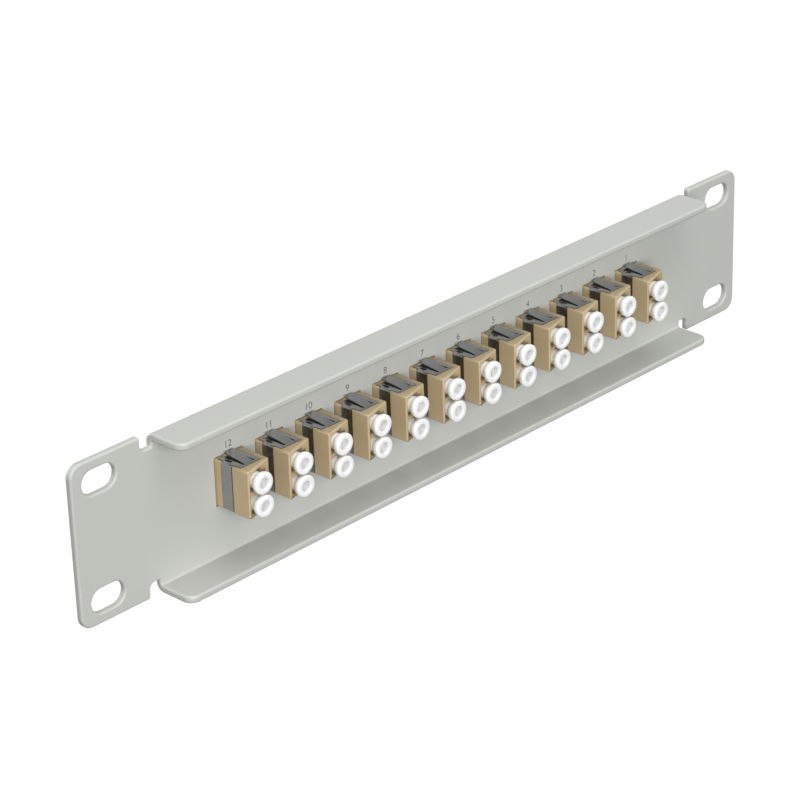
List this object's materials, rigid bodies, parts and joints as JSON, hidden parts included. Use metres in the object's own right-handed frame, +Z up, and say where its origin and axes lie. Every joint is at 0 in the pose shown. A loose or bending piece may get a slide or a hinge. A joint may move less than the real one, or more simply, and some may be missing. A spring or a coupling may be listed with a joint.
{
  "type": "fibre patch panel",
  "caption": "Flanged ten inch rack panel of folded sheet that holds a row of upright duplex fibre adapters with spring clips and pull-off dust caps.",
  "frame": {"origin": "centre of the rack slots' pattern on the panel's rear face, which bears on the rack's rails", "axes": "+X along the panel to the right and +Z up as seen from the flanged rear; +Y points to the panel's front"},
  "size_m": [0.254, 0.0328, 0.044],
  "materials": {
    "panel_paint": "fine textured powder coat, satin",
    "housing_plastic": "moulded, satin",
    "clip_steel": "rolled spring steel",
    "cap_plastic": "soft moulded, slightly glossy",
    "carrier_plastic": "moulded",
    "ceramic": "ground ceramic"
  },
  "bodies": {
    "frame": {"panel": "panel_paint", "housing_01": "housing_plastic", "housing_02": "housing_plastic", "housing_03": "housing_plastic", "housing_04": "housing_plastic", "housing_05": "housing_plastic", "housing_06": "housing_plastic", "housing_07": "housing_plastic", "housing_08": "housing_plastic", "housing_09": "housing_plastic", "housing_10": "housing_plastic", "housing_11": "housing_plastic", "housing_12": "housing_plastic", "clip_01": "clip_steel", "clip_02": "clip_steel", "clip_03": "clip_steel", "clip_04": "clip_steel", "clip_05": "clip_steel", "clip_06": "clip_steel", "clip_07": "clip_steel", "clip_08": "clip_steel", "clip_09": "clip_steel", "clip_10": "clip_steel", "clip_11": "clip_steel", "clip_12": "clip_steel", "sleeve_carriers": "carrier_plastic", "sleeves": "ceramic", "front_caps": "cap_plastic"},
    "cap_01_upper": {"rear_cap_01_upper": "cap_plastic"},
    "cap_01_lower": {"rear_cap_01_lower": "cap_plastic"},
    "cap_02_upper": {"rear_cap_02_upper": "cap_plastic"},
    "cap_02_lower": {"rear_cap_02_lower": "cap_plastic"},
    "cap_03_upper": {"rear_cap_03_upper": "cap_plastic"},
    "cap_03_lower": {"rear_cap_03_lower": "cap_plastic"},
    "cap_04_upper": {"rear_cap_04_upper": "cap_plastic"},
    "cap_04_lower": {"rear_cap_04_lower": "cap_plastic"},
    "cap_05_upper": {"rear_cap_05_upper": "cap_plastic"},
    "cap_05_lower": {"rear_cap_05_lower": "cap_plastic"},
    "cap_06_upper": {"rear_cap_06_upper": "cap_plastic"},
    "cap_06_lower": {"rear_cap_06_lower": "cap_plastic"},
    "cap_07_upper": {"rear_cap_07_upper": "cap_plastic"},
    "cap_07_lower": {"rear_cap_07_lower": "cap_plastic"},
    "cap_08_upper": {"rear_cap_08_upper": "cap_plastic"},
    "cap_08_lower": {"rear_cap_08_lower": "cap_plastic"},
    "cap_09_upper": {"rear_cap_09_upper": "cap_plastic"},
    "cap_09_lower": {"rear_cap_09_lower": "cap_plastic"},
    "cap_10_upper": {"rear_cap_10_upper": "cap_plastic"},
    "cap_10_lower": {"rear_cap_10_lower": "cap_plastic"},
    "cap_11_upper": {"rear_cap_11_upper": "cap_plastic"},
    "cap_11_lower": {"rear_cap_11_lower": "cap_plastic"},
    "cap_12_upper": {"rear_cap_12_upper": "cap_plastic"},
    "cap_12_lower": {"rear_cap_12_lower": "cap_plastic"}
  },
  "joints": [
    {"name": "pull_01_upper", "type": "slide", "parent": "frame", "child": "cap_01_upper", "axis": [0, -1, 0], "range_m": [0, 0.012]},
    {"name": "pull_01_lower", "type": "slide", "parent": "frame", "child": "cap_01_lower", "axis": [0, -1, 0], "range_m": [0, 0.012]},
    {"name": "pull_02_upper", "type": "slide", "parent": "frame", "child": "cap_02_upper", "axis": [0, -1, 0], "range_m": [0, 0.012]},
    {"name": "pull_02_lower", "type": "slide", "parent": "frame", "child": "cap_02_lower", "axis": [0, -1, 0], "range_m": [0, 0.012]},
    {"name": "pull_03_upper", "type": "slide", "parent": "frame", "child": "cap_03_upper", "axis": [0, -1, 0], "range_m": [0, 0.012]},
    {"name": "pull_03_lower", "type": "slide", "parent": "frame", "child": "cap_03_lower", "axis": [0, -1, 0], "range_m": [0, 0.012]},
    {"name": "pull_04_upper", "type": "slide", "parent": "frame", "child": "cap_04_upper", "axis": [0, -1, 0], "range_m": [0, 0.012]},
    {"name": "pull_04_lower", "type": "slide", "parent": "frame", "child": "cap_04_lower", "axis": [0, -1, 0], "range_m": [0, 0.012]},
    {"name": "pull_05_upper", "type": "slide", "parent": "frame", "child": "cap_05_upper", "axis": [0, -1, 0], "range_m": [0, 0.012]},
    {"name": "pull_05_lower", "type": "slide", "parent": "frame", "child": "cap_05_lower", "axis": [0, -1, 0], "range_m": [0, 0.012]},
    {"name": "pull_06_upper", "type": "slide", "parent": "frame", "child": "cap_06_upper", "axis": [0, -1, 0], "range_m": [0, 0.012]},
    {"name": "pull_06_lower", "type": "slide", "parent": "frame", "child": "cap_06_lower", "axis": [0, -1, 0], "range_m": [0, 0.012]},
    {"name": "pull_07_upper", "type": "slide", "parent": "frame", "child": "cap_07_upper", "axis": [0, -1, 0], "range_m": [0, 0.012]},
    {"name": "pull_07_lower", "type": "slide", "parent": "frame", "child": "cap_07_lower", "axis": [0, -1, 0], "range_m": [0, 0.012]},
    {"name": "pull_08_upper", "type": "slide", "parent": "frame", "child": "cap_08_upper", "axis": [0, -1, 0], "range_m": [0, 0.012]},
    {"name": "pull_08_lower", "type": "slide", "parent": "frame", "child": "cap_08_lower", "axis": [0, -1, 0], "range_m": [0, 0.012]},
    {"name": "pull_09_upper", "type": "slide", "parent": "frame", "child": "cap_09_upper", "axis": [0, -1, 0], "range_m": [0, 0.012]},
    {"name": "pull_09_lower", "type": "slide", "parent": "frame", "child": "cap_09_lower", "axis": [0, -1, 0], "range_m": [0, 0.012]},
    {"name": "pull_10_upper", "type": "slide", "parent": "frame", "child": "cap_10_upper", "axis": [0, -1, 0], "range_m": [0, 0.012]},
    {"name": "pull_10_lower", "type": "slide", "parent": "frame", "child": "cap_10_lower", "axis": [0, -1, 0], "range_m": [0, 0.012]},
    {"name": "pull_11_upper", "type": "slide", "parent": "frame", "child": "cap_11_upper", "axis": [0, -1, 0], "range_m": [0, 0.012]},
    {"name": "pull_11_lower", "type": "slide", "parent": "frame", "child": "cap_11_lower", "axis": [0, -1, 0], "range_m": [0, 0.012]},
    {"name": "pull_12_upper", "type": "slide", "parent": "frame", "child": "cap_12_upper", "axis": [0, -1, 0], "range_m": [0, 0.012]},
    {"name": "pull_12_lower", "type": "slide", "parent": "frame", "child": "cap_12_lower", "axis": [0, -1, 0], "range_m": [0, 0.012]}
  ]
}
